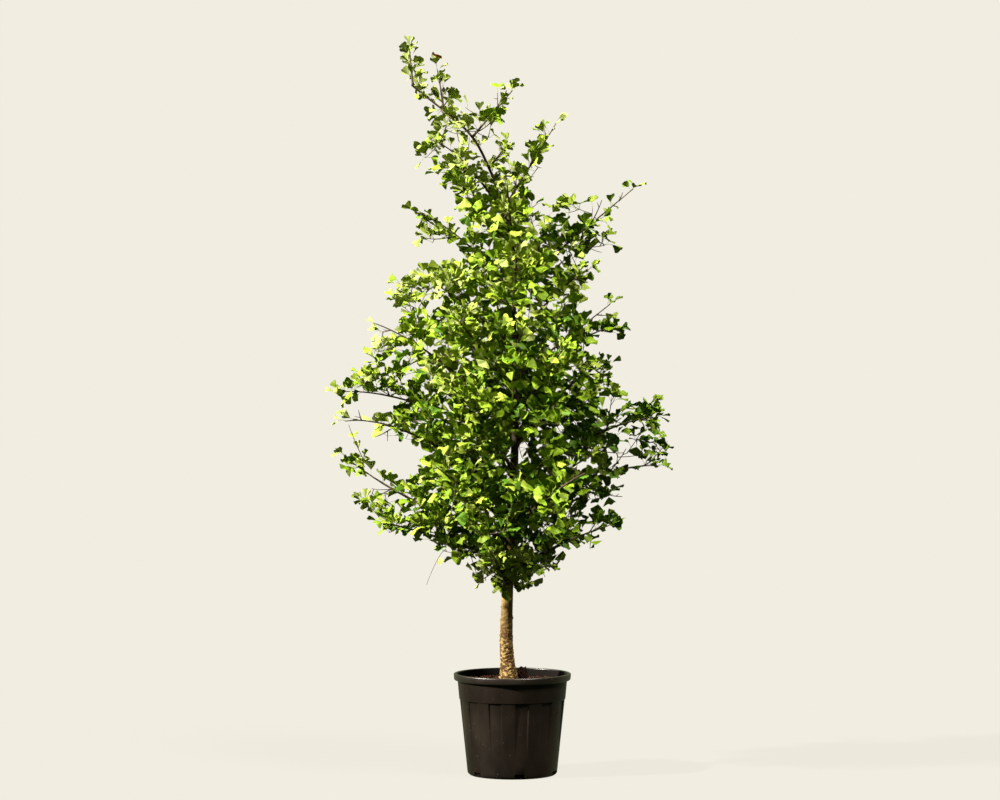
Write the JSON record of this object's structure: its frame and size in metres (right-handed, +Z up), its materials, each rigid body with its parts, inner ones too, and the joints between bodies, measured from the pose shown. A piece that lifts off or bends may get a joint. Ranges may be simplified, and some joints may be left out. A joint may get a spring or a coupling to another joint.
{
  "type": "ginkgo tree",
  "caption": "Young ginkgo tree in a round black nursery pot: slender trunk with a leader that leans over at the top, ascending boughs and an open crown of fan-shaped leaves.",
  "frame": {"origin": "centre of the pot's flat underside", "axes": "+Z up along the pot's axis, +X to the right and +Y to the back as the tree is seen from the front, where the leader leans towards -X"},
  "size_m": [1.2187, 0.8853, 2.5251],
  "materials": {
    "pot_plastic": "black injection-moulded plastic with a soft sheen, dusty towards the foot",
    "potting_soil": "loose dark brown peat with reddish fibres and bits of bark",
    "trunk_bark": "tan bark, warty and scaly at the foot and smoother above",
    "young_bark": "smooth yellow-brown bark of young boughs, with short knobby spurs",
    "foliage": "fresh green fan-shaped leaves with fine radiating veins and a soft satin face"
  },
  "bodies": {
    "root": {"pot": "pot_plastic", "soil": "potting_soil", "trunk": "trunk_bark", "bough_back_left": "young_bark", "bough_back_right": "young_bark", "bough_front_left": "young_bark", "bough_front_right": "young_bark", "bough_high_front": "young_bark", "bough_high_left": "young_bark", "bough_high_right": "young_bark", "bough_long_left": "young_bark", "bough_long_right": "young_bark", "bough_low_back": "young_bark", "bough_low_front": "young_bark", "bough_low_left": "young_bark", "bough_low_right": "young_bark", "bough_mid_back": "young_bark", "bough_mid_front": "young_bark", "bough_mid_left": "young_bark", "bough_mid_right": "young_bark", "bough_sweep_left": "young_bark", "bough_sweep_right": "young_bark", "foliage_arm_left": "foliage", "foliage_arm_right": "foliage", "foliage_back_left": "foliage", "foliage_back_right": "foliage", "foliage_crown_back": "foliage", "foliage_crown_front": "foliage", "foliage_crown_left": "foliage", "foliage_crown_right": "foliage", "foliage_front_left": "foliage", "foliage_front_right": "foliage", "foliage_high_back": "foliage", "foliage_high_front": "foliage", "foliage_high_left": "foliage", "foliage_high_right": "foliage", "foliage_leader": "foliage", "foliage_leader_side": "foliage", "foliage_long_left": "foliage", "foliage_long_right": "foliage", "foliage_low_back": "foliage", "foliage_low_front": "foliage", "foliage_low_left": "foliage", "foliage_low_right": "foliage", "foliage_mid_back": "foliage", "foliage_mid_front": "foliage", "foliage_mid_left": "foliage", "foliage_mid_right": "foliage", "foliage_neck_back": "foliage", "foliage_neck_front": "foliage", "foliage_spire_left": "foliage", "foliage_spire_right": "foliage", "foliage_sweep_left": "foliage", "foliage_sweep_right": "foliage", "foliage_top_middle": "foliage", "foliage_top_right": "foliage", "foliage_upper_back": "foliage", "foliage_upper_front": "foliage", "foliage_upper_left": "foliage", "foliage_upper_right": "foliage"}
  },
  "joints": []
}
